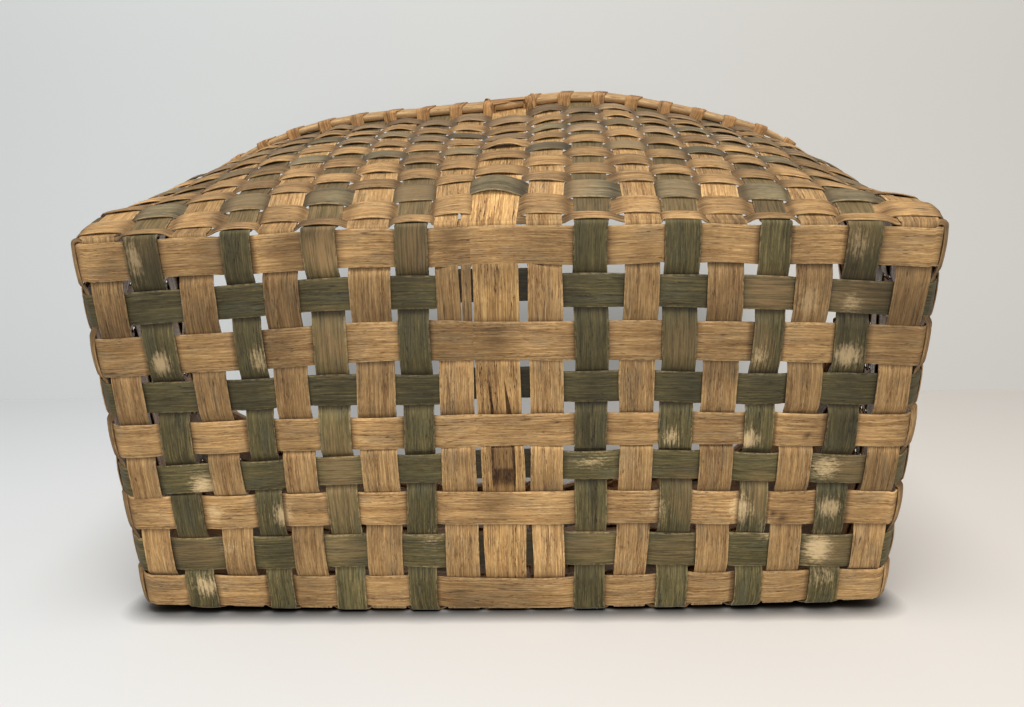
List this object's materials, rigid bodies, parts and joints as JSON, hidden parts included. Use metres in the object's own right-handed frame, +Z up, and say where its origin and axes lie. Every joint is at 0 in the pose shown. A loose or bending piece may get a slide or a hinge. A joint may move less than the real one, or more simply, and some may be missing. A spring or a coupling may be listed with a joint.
{
  "type": "woven splint basket",
  "caption": "Open rectangular basket woven from split oak, flaring to an oval mouth with a lashed double-hoop rim.",
  "frame": {"origin": "middle of the base, at the level the basket stands on", "axes": "+Z up out of the mouth, X along the long stakes, Y along the cross stakes"},
  "size_m": [0.4592, 0.2906, 0.2009],
  "materials": {
    "natural_oak": "dry matte",
    "heart_oak": "dry matte",
    "green_stained_oak": "worn matte stain",
    "grey_green_oak": "worn matte stain",
    "grey_brown_oak": "dry matte",
    "hoop_oak": "dry matte",
    "lashing_oak": "dry matte"
  },
  "bodies": {
    "root": {"cross_stake_01": "natural_oak", "cross_stake_02": "green_stained_oak", "cross_stake_03": "natural_oak", "cross_stake_04": "green_stained_oak", "cross_stake_05": "natural_oak", "cross_stake_06": "green_stained_oak", "cross_stake_07": "natural_oak", "cross_stake_08": "green_stained_oak", "cross_stake_09": "natural_oak", "centre_stake": "heart_oak", "cross_stake_11": "natural_oak", "cross_stake_12": "green_stained_oak", "cross_stake_13": "natural_oak", "cross_stake_14": "green_stained_oak", "cross_stake_15": "natural_oak", "cross_stake_16": "green_stained_oak", "cross_stake_17": "natural_oak", "cross_stake_18": "green_stained_oak", "cross_stake_19": "natural_oak", "long_stake_1": "natural_oak", "long_stake_2": "green_stained_oak", "long_stake_3": "natural_oak", "long_stake_4": "green_stained_oak", "long_stake_5": "natural_oak", "long_stake_6": "green_stained_oak", "long_stake_7": "natural_oak", "long_stake_8": "green_stained_oak", "long_stake_9": "natural_oak", "weaver_01": "natural_oak", "weaver_02": "natural_oak", "weaver_03": "grey_green_oak", "weaver_04": "natural_oak", "weaver_05": "natural_oak", "weaver_06": "natural_oak", "weaver_07": "natural_oak", "weaver_08": "grey_green_oak", "weaver_09": "natural_oak", "weaver_10": "natural_oak", "weaver_11": "grey_brown_oak", "weaver_12": "grey_green_oak", "weaver_13": "natural_oak", "weaver_14": "natural_oak", "weaver_15": "grey_brown_oak", "weaver_16": "grey_brown_oak", "outer_rim_hoop": "hoop_oak", "inner_rim_hoop": "hoop_oak", "rim_lashing": "lashing_oak"}
  },
  "joints": []
}
